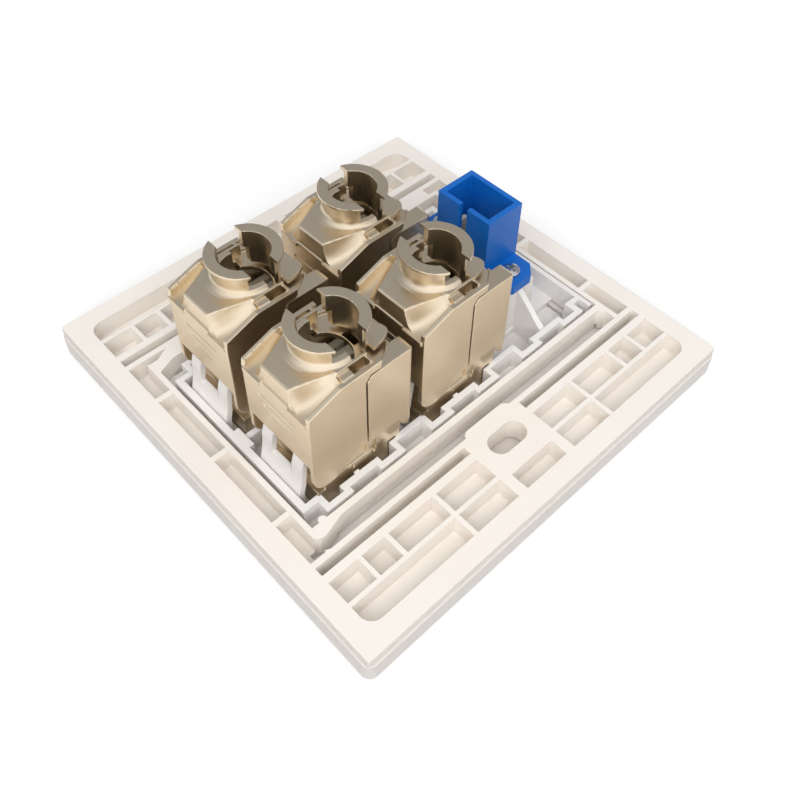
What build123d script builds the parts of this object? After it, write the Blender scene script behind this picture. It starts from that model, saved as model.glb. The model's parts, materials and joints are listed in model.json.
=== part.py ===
from build123d import *
import os

# Wall plate with four shielded jacks and one fibre adapter, seen from the rear.
# The front face lies on Z = 0, the rear rim faces up, all sizes are in mm.

# Jack sizes, v runs along Y from the row line and w runs up from the rim
JACK_X = 16.2
CAP_WALL = 0.9
CAP_FRONT = -8.6
CAP_FRONT_WALL = 1.0
SEAM = 2.5
HOOK_END = 5.8
JACK_REAR = 13.0
BLOCK_TOP = 22.1
WALL_FOOT = 8.8
PIN_V = -5.4
PIN_W = 5.6
PIN_R = 1.0
PIN_LEN = 2.5
RUN_FIT = 0.05
COLLAR_V = 1.4
COLLAR_TOP = 29.3
COLLAR_FLANGE = 0.6
COLLAR_R = 6.05
NECK_R = 5.15
BORE_R = 4.15
NOSE_X = 14.5
NOSE_V0 = -7.4
NOSE_V1 = 9.2
NOSE_LOW = -6.2
DECK = 6.4
PLUG_X = 11.9
PLUG_V0 = -3.6
PLUG_V1 = 4.3
SLIDE_OUT = {1: 1.5, 2: 0.7, 3: 0.0, 4: 0.0}

# Grid of ports, set by the jacks and the gaps between them
ROW_GAP = 1.5
COL_GAP = 3.6
ROW = JACK_REAR - CAP_FRONT + ROW_GAP
COL = (JACK_X + COL_GAP) / 2
SC_Y = ROW - 0.15

# Port insert sizes
COMB_GAP = 3.25
COMB_WALL = 1.1
COMB_X = COL + NOSE_X / 2 + COMB_GAP
INS_EDGE = 1.8
INS_X = 2 * (COMB_X + INS_EDGE)
INS_END = 11.3
INS_Y = 2 * (ROW + INS_END)
INS_FACE = 2.0
WIN_EDGE = 1.6
WIN_X = INS_X - 2 * WIN_EDGE
WIN_Y = INS_Y - 2 * WIN_EDGE
FACE_GAP = 0.3

# Plate sizes
COVER = 86.4
COVER_H = 4.9
COVER_R = 1.6
COVER_WALL = 1.2
COVER_FACE = 1.5
RIM = 6.8
REVEAL = 0.4
FRAME = COVER - 2 * REVEAL
FRAME_GAP = 0.3
FRAME_BODY = COVER - 2 * (COVER_WALL + 0.6)
FRAME_LOW = 1.9
PITCH_SCREWS = 60.3
SLOT_W = 4.3
SLOT_L = 7.9
CHANNEL = 3.4
END_GAP = 0.7
OPEN_X = INS_X + 2 * CHANNEL
OPEN_Y = INS_Y + 2 * END_GAP
LAND = -INS_X / 2 - 0.4
SPRING_IN = COMB_X + 0.6
SPRING_OUT = SPRING_IN + 1.2
RIB_SHARE = 4.0 / 7.7
BORDER = OPEN_Y / 2 + (FRAME - OPEN_Y) / 2 * RIB_SHARE
POCKET_Z = 2.8
GROOVE_Z = 2.3

# Adapter sizes
SC_X = 12.6
SC_D = 8.7
SC_TOP = 20.8
SC_FLANGE_X = 24.0
SC_FLANGE_T = 2.2
SC_FLANGE_TOP = 8.2
SC_HOLES = 18.0

os.makedirs("parts", exist_ok=True)


def up(w):
    return RIM + w


def at(v, w):
    return (v, RIM + w)


def box(x0, x1, y0, y1, w0, w1, mode=Mode.ADD):
    # Straight block between two corners, heights counted from the rim.
    with Locations(((x0 + x1) / 2, (y0 + y1) / 2, up((w0 + w1) / 2))):
        Box(x1 - x0, y1 - y0, w1 - w0, mode=mode)


def sides(x0, x1, y0, y1, w0, w1, mode=Mode.ADD):
    # The same block on both sides of the middle plane.
    box(x0, x1, y0, y1, w0, w1, mode)
    box(-x1, -x0, y0, y1, w0, w1, mode)


def save(part, name):
    part.label = name
    export_step(part, "parts/" + name + ".step")


# Outer snap-on cover
with BuildPart() as cover:
    with BuildSketch(Plane.XY):
        RectangleRounded(COVER, COVER, COVER_R)
    extrude(amount=COVER_H)
    fillet(cover.faces().sort_by(Axis.Z)[0].edges(), 1.0)
    with BuildSketch(Plane.XY.offset(COVER_FACE)):
        RectangleRounded(COVER - 2 * COVER_WALL, COVER - 2 * COVER_WALL, COVER_R / 2)
    extrude(amount=COVER_H, mode=Mode.SUBTRACT)
    with BuildSketch(Plane.XY):
        RectangleRounded(WIN_X, WIN_Y, 0.8)
    extrude(amount=COVER_FACE, mode=Mode.SUBTRACT)
    # Snap beads on the inner walls
    bead = COVER / 2 - COVER_WALL
    for turn in (0, 90, 180, 270):
        for side in (-24, 24):
            with BuildSketch(Plane.XY.rotated((0, 0, turn)).offset(COVER_H - 1.6)):
                with Locations((bead, side)):
                    Rectangle(0.7, 8)
            extrude(amount=0.8)
save(cover.part, "cover_frame")

# Ribbed base frame that carries the two screws
inner = (OPEN_X / 2 + 4.1, BORDER - 5.0)
outer = (BORDER - 4.2, BORDER)
groove = (OPEN_X / 2 + 1.0, OPEN_X / 2 + 2.6)
rows = ((7.0, 16.5), (17.4, 26.9), (27.8, 32.5), (33.3, BORDER))
tops = ((0.5, 15.9), (16.9, OPEN_X / 2 - 0.1))
top_in = OPEN_Y / 2 + 1.0
with BuildPart() as frame:
    with BuildSketch(Plane.XY.offset(COVER_H + FRAME_GAP)):
        RectangleRounded(FRAME, FRAME, COVER_R)
    extrude(amount=RIM - COVER_H - FRAME_GAP)
    with BuildSketch(Plane.XY.offset(FRAME_LOW)):
        RectangleRounded(FRAME_BODY, FRAME_BODY, COVER_R / 2)
    extrude(amount=COVER_H + FRAME_GAP - FRAME_LOW)
    # Opening for the insert, with a channel behind the springy wall on the right,
    # a corner piece on the left, and the two screw lugs bulging in
    open_x = OPEN_X / 2
    open_y = OPEN_Y / 2
    with BuildSketch(Plane.XY):
        Polygon((LAND, open_y), (SPRING_IN, open_y), (SPRING_IN, -open_y),
                (LAND + 1.3, -open_y), (LAND, -open_y + 3.4), align=None)
        Polygon((SPRING_OUT, open_y - 1.1), (SPRING_OUT + 1.1, open_y), (open_x, open_y),
                (open_x, -open_y), (open_x - 0.8, -open_y - 2.1),
                (SPRING_OUT + 0.4, -open_y - 2.1), (SPRING_OUT + 0.4, -open_y - 0.9),
                (SPRING_OUT + 1.1, -open_y - 0.1), (SPRING_OUT + 1.2, -open_y + 0.8),
                (SPRING_OUT, -open_y + 5.1), align=None)
        with Locations((open_x + 1.0, 0)):
            RectangleRounded(4.0, 11.0, 1.6, mode=Mode.SUBTRACT)
    extrude(amount=RIM + 1, mode=Mode.SUBTRACT)
    # Room for the flange of the insert below the springy wall
    box(SPRING_IN - 0.5, SPRING_OUT + 0.4, -open_y + 0.2, open_y - 0.2, -RIM, INS_FACE + 0.9 - RIM, Mode.SUBTRACT)
    # Stop bump near the foot of the springy wall
    with BuildSketch(Plane.XY.offset(up(-3.5))):
        with Locations((SPRING_IN, -open_y + 2.2)):
            RectangleRounded(1.5, 1.5, 0.6)
    extrude(amount=3.5)
    # Pockets between the ribs
    with BuildSketch(Plane.XY.offset(POCKET_Z)):
        for sx in (-1, 1):
            with Locations((sx * (35.6 + BORDER) / 2, 0)):
                Rectangle(BORDER - 35.6, 9.8)
            for sy in (-1, 1):
                for y0, y1 in rows:
                    with Locations((sx * sum(inner) / 2, sy * (y0 + y1) / 2)):
                        Rectangle(inner[1] - inner[0], y1 - y0)
                for y0, y1 in ((rows[0]), (rows[1][0], BORDER)):
                    with Locations((sx * sum(outer) / 2, sy * (y0 + y1) / 2)):
                        Rectangle(outer[1] - outer[0], y1 - y0)
                for x0, x1 in tops:
                    with Locations((sx * (x0 + x1) / 2, sy * (top_in + BORDER) / 2)):
                        Rectangle(x1 - x0, BORDER - top_in)
        Polygon((0.1 - open_x, open_y - 1.1), (LAND - 0.9, open_y - 1.1), (LAND - 0.9, BORDER),
                (0.1 - open_x, BORDER), align=None)
        Polygon((0.1 - open_x, -open_y + 3.9), (LAND - 1.5, -open_y + 1.1),
                (LAND - 1.5, -BORDER), (0.1 - open_x, -BORDER), align=None)
        RectangleRounded(2 * BORDER, 2 * BORDER, 2.4, mode=Mode.INTERSECT)
    extrude(amount=RIM, mode=Mode.SUBTRACT)
    # Deep grooves beside the opening
    with BuildSketch(Plane.XY.offset(GROOVE_Z)):
        for sx in (-1, 1):
            for sy in (-1, 1):
                with Locations((sx * sum(groove) / 2, sy * (6.9 + BORDER) / 2)):
                    Rectangle(groove[1] - groove[0], BORDER - 6.9)
    extrude(amount=RIM, mode=Mode.SUBTRACT)
    # Slots for the wall-box screws
    with BuildSketch(Plane.XY):
        for side in (-1, 1):
            with Locations((side * PITCH_SCREWS / 2, 0)):
                SlotOverall(SLOT_L, SLOT_W, rotation=90)
    extrude(amount=RIM + 1, mode=Mode.SUBTRACT)
save(frame.part, "base_frame")

# Side profile of one latch arm of the insert
ARM_ROOT = -9.8
ARM_TOP_W = 9.0
ARM_FOOT = INS_FACE - 0.3 - RIM
with BuildPart() as arms:
    for x0, x1 in ((-5.1, -2.55), (2.55, 5.1)):
        with BuildSketch(Plane.YZ.offset(x0)):
            with BuildLine():
                Polyline(at(-6.5, ARM_TOP_W), at(-7.3, ARM_TOP_W), at(-7.45, 8.5),
                         at(-8.3, 7.4), at(-8.75, 5.6), at(-8.8, 4.6))
                ThreePointArc(at(-8.8, 4.6), at(-9.1, 2.2), at(ARM_ROOT, -0.6))
                Polyline(at(ARM_ROOT, -0.6), at(ARM_ROOT, ARM_FOOT), at(ARM_ROOT + 1.2, ARM_FOOT),
                         at(ARM_ROOT + 1.2, -0.6))
                ThreePointArc(at(ARM_ROOT + 1.2, -0.6), at(-7.95, 3.0), at(-7.5, 6.4))
                Polyline(at(-7.5, 6.4), at(-6.5, 8.0), at(-6.5, ARM_TOP_W))
            make_face()
        extrude(amount=x1 - x0)
    # Cross web below the window between the arms
    with BuildSketch(Plane.YZ.offset(-5.1)):
        with BuildLine():
            Polyline(at(-9.0, 3.0), at(-9.1, 2.2), at(-9.35, 0.8), at(ARM_ROOT, -0.6),
                     at(ARM_ROOT, ARM_FOOT), at(ARM_ROOT + 1.2, ARM_FOOT),
                     at(ARM_ROOT + 1.2, -0.6), at(-8.1, 1.5), at(-8.0, 3.0), at(-9.0, 3.0))
        make_face()
    extrude(amount=10.2)

# Insert that carries the jacks and the adapter
ports = {1: (COL, -ROW), 2: (-COL, -ROW), 3: (-COL, 0.0), 4: (COL, 0.0)}
comb_in = COMB_X - COMB_WALL
well_x = comb_in - 2.4
steps = ((-7.1, -3.9, comb_in), (-3.9, 4.4, comb_in - 1.2), (4.4, 7.7, comb_in))
with BuildPart() as insert:
    with BuildSketch(Plane.XY):
        RectangleRounded(WIN_X - 2 * FACE_GAP, WIN_Y - 2 * FACE_GAP, 0.6)
    extrude(amount=INS_FACE)
    with BuildSketch(Plane.XY.offset(COVER_FACE + FACE_GAP)):
        Rectangle(INS_X, INS_Y)
    extrude(amount=INS_FACE + 0.6 - COVER_FACE - FACE_GAP)
    with BuildSketch(Plane.XY.offset(INS_FACE)):
        Polygon((-COMB_X, INS_Y / 2 + 0.3), (COMB_X, INS_Y / 2 + 0.3), (COMB_X, -INS_Y / 2),
                (-COMB_X + 1.4, -INS_Y / 2), (-COMB_X, -INS_Y / 2 + 1.4), align=None)
    extrude(amount=RIM - INS_FACE)
    # Well behind the face, its sides stepped in and out like a comb
    with BuildSketch(Plane.XY.offset(INS_FACE + 0.4)):
        Polygon((-well_x, INS_Y / 2 - 0.7), (well_x, INS_Y / 2 - 0.7),
                (well_x, -INS_Y / 2 + 1.3), (-well_x, -INS_Y / 2 + 1.3), align=None)
        for y in (-ROW, 0, ROW):
            for v0, v1, x in steps:
                with Locations((0, y + (v0 + v1) / 2)):
                    Rectangle(2 * x, v1 - v0)
        for sx in (-1, 1):
            for y in (-ROW, 0):
                with Locations((sx * (comb_in - 1.3), y)):
                    Rectangle(0.6, 1.0, mode=Mode.SUBTRACT)
    extrude(amount=RIM, mode=Mode.SUBTRACT)
    # Pockets in the outer side of the comb, open towards the base frame
    row_end = ROW - 8.3
    for y in (-ROW, 0, ROW):
        sides(comb_in, COMB_X + 1, y - 2.7, y + 3.3, INS_FACE + 0.6 - RIM, 1, Mode.SUBTRACT)
    for y0, y1 in ((-INS_Y / 2 - 1, 3.0 - INS_Y / 2), (8.8 - ROW, row_end - ROW),
                   (8.8, row_end), (INS_Y / 2 - 2.3, INS_Y / 2 - 0.6)):
        sides(18.0, COMB_X + 1, y0, y1, INS_FACE + 0.6 - RIM, 1, Mode.SUBTRACT)
    # Middle rib with a thicker foot, and cross ribs between the rows
    near = 1.2 - INS_Y / 2
    box(-0.55, 0.55, near, 12.0, INS_FACE - RIM, -0.3)
    box(-2.2, 2.2, near, near + 1.1, INS_FACE - RIM, 0)
    box(-well_x - 0.7, well_x + 0.7, 10.9 - ROW, 12.2 - ROW, INS_FACE - RIM, -1.2)
    box(-well_x - 0.7, well_x + 0.7, ROW - 11.5, ROW - 9.7, INS_FACE - RIM, -1.2)
    # Windows for the jack noses
    for x, y in ports.values():
        box(x - NOSE_X / 2 - 0.15, x + NOSE_X / 2 + 0.15, y + NOSE_V0 - 0.15,
            y + NOSE_V1 + 0.15, -RIM - 1, 1, Mode.SUBTRACT)
    # Thinner face beside the adapter
    sides(SC_FLANGE_X / 2, well_x, ROW - 6.9, INS_Y / 2 - 0.7, 1.0 - RIM, INS_FACE + 0.6 - RIM,
          Mode.SUBTRACT)
    # Seat of the adapter: two bosses and the opening between them
    boss_top = SC_FLANGE_TOP - SC_FLANGE_T
    boss_x = SC_FLANGE_X / 2 - 0.4
    for sx in (-1, 1):
        box(*sorted((sx * (SC_X / 2 + 0.15), sx * boss_x)),
            SC_Y - SC_D / 2 + 0.4, SC_Y + SC_D / 2 - 0.4, INS_FACE - RIM, boss_top)
    box(-SC_X / 2 - 0.15, SC_X / 2 + 0.15, SC_Y - SC_D / 2 - 0.15, SC_Y + SC_D / 2 + 0.15,
        -RIM - 1, INS_FACE + 0.6 - RIM, Mode.SUBTRACT)
    with BuildSketch(Plane.XY.offset(INS_FACE + 1)):
        with Locations((-SC_HOLES / 2, SC_Y), (SC_HOLES / 2, SC_Y)):
            Circle(0.95)
    extrude(amount=up(boss_top), mode=Mode.SUBTRACT)
    # Sloping gusset on each side of the adapter
    with BuildSketch(Plane.XZ.offset(-SC_Y - 0.6)):
        for sx in (-1, 1):
            Polygon((sx * (boss_x - 0.8), INS_FACE), (sx * (boss_x - 0.8), boss_top + RIM - 0.2),
                    (sx * (boss_x - 0.1), boss_top + RIM - 0.3), (sx * (boss_x + 1.3), up(4.6)),
                    (sx * (comb_in - 3.0), up(1.3)), (sx * (comb_in - 1.0), up(-0.5)),
                    (sx * (comb_in - 1.0), INS_FACE - 1.2), (sx * boss_x, INS_FACE - 1.2),
                    align=None)
    extrude(amount=1.2)
    # Latch arms in front of every jack
    for x, y in ports.values():
        with Locations((x, y, 0)):
            add(arms.part)
save(insert.part, "port_insert")

# Lower rear body of a jack: nose, deck and hollow rear block
half = JACK_X / 2
deck_half = half - CAP_WALL - 0.3
pin_end = half - CAP_WALL + 0.4
with BuildPart() as body:
    box(-NOSE_X / 2, NOSE_X / 2, NOSE_V0, NOSE_V1, NOSE_LOW, 0)
    box(-NOSE_X / 2, NOSE_X / 2, NOSE_V0 + 1.5, NOSE_V1 + 1.1, 0, 2.1)
    box(-deck_half, deck_half, NOSE_V0 + 1.5, SEAM + 0.3, 2.1, DECK)
    box(-half + 0.6, half - 0.6, SEAM + 0.3, NOSE_V1 + 1.1, 2.1, DECK)
    sides(NOSE_X / 2 - 0.4, NOSE_X / 2 + 0.2, -0.3, 5.0, -0.9, 1.9)
    with BuildSketch(Plane.YZ.offset(-half)):
        with BuildLine():
            Polyline(at(9.2, 5.5), at(SEAM + 0.3, 5.5), at(SEAM + 0.3, BLOCK_TOP - 1.1),
                     at(SEAM + 1.15, BLOCK_TOP), at(JACK_REAR - 0.1, BLOCK_TOP),
                     at(JACK_REAR, 10.0))
            ThreePointArc(at(JACK_REAR, 10.0), at(JACK_REAR - 0.35, 6.0), at(11.3, 2.8))
            Polyline(at(11.3, 2.8), at(10.2, 3.6), at(9.2, 5.5))
        make_face()
    extrude(amount=JACK_X)
    # Hollow of the rear block, open towards the cap
    box(-half + 1.2, half - 1.2, 0, JACK_REAR - 1.2, DECK, BLOCK_TOP - 1.4, Mode.SUBTRACT)
    # Cable passage and clamp slot in the top of the block
    with BuildSketch(Plane.XY.offset(up(BLOCK_TOP - 2))):
        with Locations((0, COLLAR_V)):
            Circle(BORE_R + 0.3)
        with Locations((0, 9.1)):
            Rectangle(3.0, 6.2)
    extrude(amount=3, mode=Mode.SUBTRACT)
    # Shallow track of the clamp between two raised corner pads
    with BuildSketch(Plane.XY.offset(up(BLOCK_TOP - 0.5))):
        with Locations((0, 4.6)):
            Circle(7.0)
    extrude(amount=1.5, mode=Mode.SUBTRACT)
    # Plug cavity with its latch notch
    box(-PLUG_X / 2, PLUG_X / 2, PLUG_V0, PLUG_V1, NOSE_LOW - 1, DECK - 0.6, Mode.SUBTRACT)
    box(-3.1, 3.1, PLUG_V0 - 1.5, PLUG_V0, NOSE_LOW - 1, 2.0, Mode.SUBTRACT)
    # Pocket of the contact carrier
    box(-5.6, 5.6, PLUG_V1, 8.2, -4.6, DECK + 1, Mode.SUBTRACT)
    # Hinge pin bores and the slits beside the side tabs
    with BuildSketch(Plane.YZ.offset(-deck_half)):
        with Locations(at(PIN_V, PIN_W)):
            Circle(PIN_R + RUN_FIT)
    extrude(amount=2.0, mode=Mode.SUBTRACT)
    with BuildSketch(Plane.YZ.offset(deck_half - 2.0)):
        with Locations(at(PIN_V, PIN_W)):
            Circle(PIN_R + RUN_FIT)
    extrude(amount=2.0, mode=Mode.SUBTRACT)
    sides(7.1, 7.8, 4.2, 4.7, 0.6, 3.9, Mode.SUBTRACT)

# Raised middle panel of the cap, trapezoid in plan with a slightly rising top
RIDGE_X = 5.55
RIDGE_WALL = 0.5
RIDGE_TOP = 24.9
with BuildPart() as panel:
    with BuildSketch(Plane.XY.offset(up(19.3))):
        Polygon((-3.15, CAP_FRONT + 0.3), (3.15, CAP_FRONT + 0.3), (5.7, -1.4), (5.7, 0.4),
                (-5.7, 0.4), (-5.7, -1.4), align=None)
    extrude(amount=8)
    with BuildSketch(Plane.YZ.offset(-7)):
        Polygon(at(CAP_FRONT - 1, 23.9), at(CAP_FRONT + 0.3, 24.0), at(CAP_FRONT + 0.6, 24.25),
                at(-1.4, RIDGE_TOP), at(2.0, RIDGE_TOP), at(2.0, 30), at(CAP_FRONT - 1, 30),
                align=None)
    extrude(amount=14, mode=Mode.SUBTRACT)

# Hollow cove between the wing floor and the side of the panel
wing = Plane(origin=(3.15, CAP_FRONT + 0.3, RIM + 20.5), x_dir=(6.9, -2.55, 0),
             z_dir=(2.55, 6.9, 2.9))
with BuildPart() as cove:
    with BuildSketch(wing):
        with BuildLine():
            Polyline((1.7, 0), (1.7, 0.8), (-0.3, 0.8), (-0.3, -1.8), (0, -1.8))
            ThreePointArc((0, -1.8), (0.5, -0.55), (1.7, 0))
        make_face()
    extrude(amount=7.6)
    box(-9, 9, -12, CAP_FRONT + 0.35, 15, 32, Mode.SUBTRACT)
    mirror(about=Plane.YZ)

# Front half of the collar: flange, neck and cove foot
COVE_R = 6.5
NECK_END = 2.0
TIP_END = -0.9
with BuildPart() as neck:
    with BuildSketch(Plane.YZ.offset(0)):
        with BuildLine():
            Polyline(at(COLLAR_V, 22.6), at(COLLAR_V, COLLAR_TOP),
                     at(COLLAR_V - COLLAR_R, COLLAR_TOP),
                     at(COLLAR_V - COLLAR_R, COLLAR_TOP - COLLAR_FLANGE),
                     at(COLLAR_V - NECK_R, COLLAR_TOP - COLLAR_FLANGE),
                     at(COLLAR_V - NECK_R, 26.2))
            ThreePointArc(at(COLLAR_V - NECK_R, 26.2), at(COLLAR_V - NECK_R - 0.35, 25.1),
                          at(COLLAR_V - COVE_R, 24.6))
            Polyline(at(COLLAR_V - COVE_R, 24.6), at(COLLAR_V - COVE_R, 22.6),
                     at(COLLAR_V, 22.6))
        make_face()
    revolve(axis=Axis((0, COLLAR_V, 0), (0, 0, 1)), revolution_arc=360)
    box(-9, 9, TIP_END, 12, 25.6, 32, Mode.SUBTRACT)
    box(-9, 9, NECK_END, 12, 20, 32, Mode.SUBTRACT)
    sides(RIDGE_X + 0.1, 9, -9, 3, 20, COLLAR_TOP - COLLAR_FLANGE - 0.01, Mode.SUBTRACT)

# Hinged front cap of a jack
with BuildPart() as cap:
    # Roof that rises in a hollow curve from the front corners
    with BuildSketch(Plane.YZ.offset(-half)):
        with BuildLine():
            Line(at(CAP_FRONT, 19.3), at(CAP_FRONT, 20.5))
            ThreePointArc(at(CAP_FRONT, 20.5), at(-5.2, 21.3), at(-2.3, 23.4))
            Polyline(at(-2.3, 23.4), at(SEAM, 23.4), at(SEAM, 22.4), at(-1.9, 22.4))
            ThreePointArc(at(-1.9, 22.4), at(-4.6, 20.3), at(-7.6, 19.3))
            Line(at(-7.6, 19.3), at(CAP_FRONT, 19.3))
        make_face()
    extrude(amount=JACK_X)
    # Side plates with the round hinge corner and the rear hooks
    for x0 in (-half, half - CAP_WALL):
        with BuildSketch(Plane.YZ.offset(x0)):
            with BuildLine():
                Polyline(at(CAP_FRONT, PIN_W), at(CAP_FRONT, 20.5), at(CAP_FRONT + 0.15, 21.8),
                         at(-2.3, 24.0), at(HOOK_END, 24.0), at(HOOK_END - 0.25, 22.4),
                         at(SEAM + 0.9, 22.4), at(SEAM, 21.2), at(SEAM, 5.7), at(-1.2, 5.5))
                ThreePointArc(at(-1.2, 5.5), at(-3.2, 3.4), at(PIN_V, PIN_W - 3.2))
                ThreePointArc(at(PIN_V, PIN_W - 3.2), at(PIN_V - 2.263, PIN_W - 2.263),
                              at(CAP_FRONT, PIN_W))
            make_face()
        extrude(amount=CAP_WALL)
    # Front wall
    box(-half, half, CAP_FRONT, CAP_FRONT + CAP_FRONT_WALL, WALL_FOOT, 20.2)
    add(panel.part)
    add(cove.part)
    add(neck.part)
    # Ridge walls beside the cable passage
    sides(RIDGE_X, RIDGE_X + RIDGE_WALL, -1.9, 4.6, 22.4, RIDGE_TOP)
    # Rails between the ridge walls and the side plates, each with a window
    sides(RIDGE_X, half - CAP_WALL + 0.1, -1.3, 0.9, 22.4, 24.2)
    sides(RIDGE_X, half - CAP_WALL + 0.1, 4.1, 4.6, 22.4, 24.4)
    sides(RIDGE_X + RIDGE_WALL + 0.1, half - CAP_WALL, 0.9, SEAM + 0.1, 22.0, 24.0, Mode.SUBTRACT)
    # Cable bore
    with BuildSketch(Plane.XY.offset(up(18))):
        with Locations((0, COLLAR_V)):
            Circle(BORE_R)
    extrude(amount=14, mode=Mode.SUBTRACT)
    # Lips under the front corners
    sides(3.3, 7.6, CAP_FRONT - 0.35, CAP_FRONT, 19.7, 20.5)
    # Three engraved grip lines, shorter towards the foot
    for w, length in ((16.7, 8.8), (14.8, 6.6), (12.8, 4.5)):
        box(-length / 2, length / 2, CAP_FRONT - 1, CAP_FRONT + 0.25, w - 0.2, w + 0.2,
            Mode.SUBTRACT)
    # Blind hinge pin bores in the side plates
    with BuildSketch(Plane.YZ.offset(-pin_end - 0.1)):
        with Locations(at(PIN_V, PIN_W)):
            Circle(PIN_R)
    extrude(amount=2 * pin_end + 0.2, mode=Mode.SUBTRACT)

# Rear half of the collar, a clamp that slides on the top of the block
EAR_R = 3.35
EAR_START = 5.35
with BuildPart() as clamp:
    with BuildSketch(Plane.XY.offset(up(BLOCK_TOP + 0.3))):
        with Locations((-2.8, 5.3), (2.8, 5.3)):
            Circle(EAR_R)
        with Locations((0, EAR_START - 10)):
            Rectangle(20, 20, mode=Mode.SUBTRACT)
    extrude(amount=2.1)
    with BuildSketch(Plane.XY.offset(up(BLOCK_TOP + 0.3))):
        with Locations((0, COLLAR_V)):
            Circle(NECK_R)
    extrude(amount=COLLAR_TOP - BLOCK_TOP - 0.3)
    with BuildSketch(Plane.XY.offset(up(COLLAR_TOP - COLLAR_FLANGE))):
        with Locations((0, COLLAR_V)):
            Circle(COLLAR_R)
    extrude(amount=COLLAR_FLANGE)
    box(-9, 9, -9, 3.4, 25.8, 32, Mode.SUBTRACT)
    box(-9, 9, -9, 4.1, 20, 25.8, Mode.SUBTRACT)
    with BuildSketch(Plane.XY.offset(up(20))):
        with Locations((0, COLLAR_V)):
            Circle(BORE_R)
    extrude(amount=12, mode=Mode.SUBTRACT)
    # Tongue and foot that run in the slot of the block
    box(-1.2, 1.2, 6.4, 8.2, BLOCK_TOP - 2.4, BLOCK_TOP + 1.0)
    box(-2.3, 2.3, 6.4, 8.2, BLOCK_TOP - 2.6, BLOCK_TOP - 1.7)

# Two hinge pins of a cap
with BuildPart() as pins:
    for x0 in (-pin_end, pin_end - PIN_LEN):
        with BuildSketch(Plane.YZ.offset(x0)):
            with Locations(at(PIN_V, PIN_W)):
                Circle(PIN_R)
        extrude(amount=PIN_LEN)

# Plastic carrier of the contacts
with BuildPart() as carrier:
    box(-5.4, 5.4, PLUG_V1 + 0.2, 8.0, -4.4, DECK)
    for i in range(8):
        u = (i - 3.5) * 1.02
        box(u - 0.3, u + 0.3, PLUG_V1, PLUG_V1 + 1.4, -3.4, 3.6, Mode.SUBTRACT)
        box(u - 0.3, u + 0.3, PLUG_V1 + 0.6, PLUG_V1 + 1.4, 3.5, DECK + 1, Mode.SUBTRACT)

# Eight sprung contacts
with BuildPart() as contacts:
    for i in range(8):
        u = (i - 3.5) * 1.02
        with BuildSketch(Plane.YZ.offset(u - 0.175)):
            with BuildLine():
                Polyline(at(PLUG_V1 + 0.85, DECK - 0.1), at(PLUG_V1 + 1.2, DECK - 0.1),
                         at(PLUG_V1 + 1.2, -3.2), at(PLUG_V1 + 0.8, -3.2),
                         at(PLUG_V1 - 2.2, 1.0), at(PLUG_V1 - 2.2, 1.6),
                         at(PLUG_V1 + 0.85, -2.6), at(PLUG_V1 + 0.85, DECK - 0.1))
            make_face()
        extrude(amount=0.35)

# Circuit board on the deck
with BuildPart() as board:
    box(-6.1, 6.1, -5.2, 9.4, DECK + 0.2, DECK + 1.6)

# Block with eight wire slots
IDC0 = DECK + 1.8
with BuildPart() as idc:
    box(-6.1, 6.1, -4.8, 9.0, IDC0, IDC0 + 1.6)
    for v0, v1 in ((-4.8, -0.6), (4.8, 9.0)):
        box(-6.1, 6.1, v0, v1, IDC0 + 1.6, IDC0 + 6.4)
        for i in range(4):
            u = (i - 1.5) * 2.9
            box(u - 0.45, u + 0.45, v0 - 1, v1 + 1, IDC0 + 2.0, IDC0 + 7, Mode.SUBTRACT)
            box(u - 1.0, u + 1.0, (v0 + v1) / 2 - 0.35, (v0 + v1) / 2 + 0.35,
                IDC0 + 1.2, IDC0 + 6.0, Mode.SUBTRACT)

# Eight cutting blades in the wire slots
with BuildPart() as blades:
    for v in (-2.7, 6.9):
        for i in range(4):
            u = (i - 1.5) * 2.9
            box(u - 0.85, u + 0.85, v - 0.2, v + 0.2, IDC0 + 1.3, IDC0 + 5.6)
            box(u - 0.15, u + 0.15, v - 1, v + 1, IDC0 + 2.4, IDC0 + 6, Mode.SUBTRACT)

# Wire guide held under the roof of the cap
with BuildPart() as guide:
    box(-6.6, 6.6, -7.2, 1.9, 16.9, 18.6)
    box(-6.6, 6.6, -7.2, -6.0, 10.2, 16.9)
    with BuildSketch(Plane.XY.offset(up(15))):
        with Locations((0, COLLAR_V)):
            Circle(3.4)
        with GridLocations(9.6, 20, 2, 1):
            Rectangle(1.2, 1.2)
    extrude(amount=8, mode=Mode.SUBTRACT)

jack = {"body": body, "cap": cap, "clamp": clamp, "hinge_pins": pins,
        "contact_carrier": carrier, "contacts": contacts, "circuit_board": board,
        "wire_block": idc, "wire_blades": blades, "wire_guide": guide}
for n, (x, y) in ports.items():
    for name, item in jack.items():
        shift = SLIDE_OUT[n] if name == "clamp" else 0
        save(Pos(x, y + shift, 0) * item.part, f"jack_{n}_{name}")

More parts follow.
